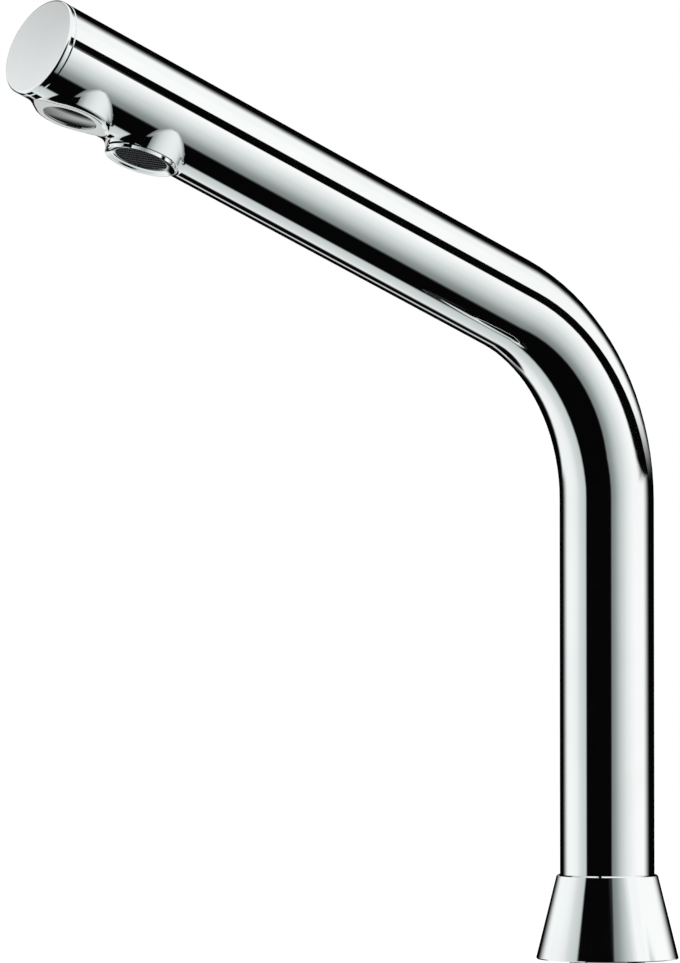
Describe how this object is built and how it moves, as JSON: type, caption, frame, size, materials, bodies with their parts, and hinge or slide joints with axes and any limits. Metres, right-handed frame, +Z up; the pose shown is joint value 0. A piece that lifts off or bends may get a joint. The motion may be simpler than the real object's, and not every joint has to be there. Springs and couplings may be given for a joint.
{
  "type": "sensor tap",
  "caption": "Touch-free basin tap: a bent chrome tube rising from a conical base, with an infrared window and an aerated outlet under its sloping arm, and a solenoid valve in its foot.",
  "frame": {"origin": "on the deck plane, at the centre of the conical base", "axes": "+Z up along the column, the arm reaches towards -Y, +X to the side"},
  "size_m": [0.0507, 0.2681, 0.37],
  "materials": {
    "chrome_tube": "bright chrome plate on brass tube",
    "chrome_cap": "bright chrome plate, plain face",
    "chrome_base": "bright chrome plate on brass",
    "chrome_aerator": "bright chrome plate",
    "window": "dark infrared-clear acrylic, polished",
    "insert": "dark moulded insert",
    "black_plastic": "black moulding",
    "white_plastic": "white acetal",
    "grey_plastic": "grey moulding",
    "rubber": "black rubber",
    "brass": "turned brass",
    "steel": "stainless steel",
    "zinc_steel": "zinc-plated steel",
    "copper": "enamelled copper wire",
    "board": "green circuit board",
    "clear": "clear epoxy",
    "dark_clear": "dark epoxy",
    "lead": "black cable sheath"
  },
  "bodies": {
    "tap": {"spout_tube": "chrome_tube", "end_cap": "chrome_cap", "cap_seal": "rubber", "base_body": "chrome_base", "base_gasket": "rubber", "grub_screw": "steel", "fixing_studs": "steel", "lead_grommets": "rubber", "inlet_filter": "steel", "check_cartridge": "white_plastic", "cartridge_seals": "rubber", "check_spring": "steel", "valve_body": "brass", "valve_cover": "brass", "cover_screws": "steel", "core_tube": "steel", "fixed_core": "steel", "plunger_spring": "steel", "coil_bobbin": "grey_plastic", "coil_winding": "copper", "coil_can": "zinc_steel", "latch_magnet": "zinc_steel", "coil_cap": "black_plastic", "coil_lead": "lead", "water_hose": "white_plastic", "hose_ferrules": "steel", "sensor_lead": "lead", "sensor_window": "window", "window_seal": "rubber", "sensor_housing": "black_plastic", "sensor_board": "board", "ir_emitter": "clear", "ir_receiver": "dark_clear", "light_baffle": "black_plastic", "sensor_cradle": "grey_plastic", "outlet_elbow": "brass", "aerator_housing": "chrome_aerator", "aerator_seal": "rubber", "flow_straightener": "insert", "jet_plate": "grey_plastic", "aerator_screen": "grey_plastic"},
    "deck_clamp": {"clamp_pad": "rubber", "clamp_plate": "zinc_steel", "clamp_washers": "zinc_steel", "clamp_nuts": "brass"},
    "plunger_body": {"plunger": "steel"},
    "servo_piston": {"valve_piston": "white_plastic", "piston_seal": "rubber"},
    "poppet_body": {"check_poppet": "grey_plastic"}
  },
  "joints": [
    {"name": "deck_clamp_slide", "type": "slide", "parent": "tap", "child": "deck_clamp", "axis": [0, 0, 1], "range_m": [-0.02, 0.015]},
    {"name": "pilot_plunger_slide", "type": "slide", "parent": "tap", "child": "plunger_body", "axis": [0, 0, 1], "range_m": [0, 0.0018], "stiffness_N_per_m": 150, "springref_m": -0.006, "deforming": ["plunger_spring"]},
    {"name": "servo_piston_slide", "type": "slide", "parent": "tap", "child": "servo_piston", "axis": [0, 0, 1], "range_m": [0, 0.00135]},
    {"name": "check_poppet_slide", "type": "slide", "parent": "tap", "child": "poppet_body", "axis": [0, 0, 1], "range_m": [0, 0.0022], "stiffness_N_per_m": 60, "springref_m": -0.004, "deforming": ["check_spring"]}
  ],
  "couplings": [
    {"joint": "servo_piston_slide", "follows": "pilot_plunger_slide", "ratio": 0.75}
  ]
}
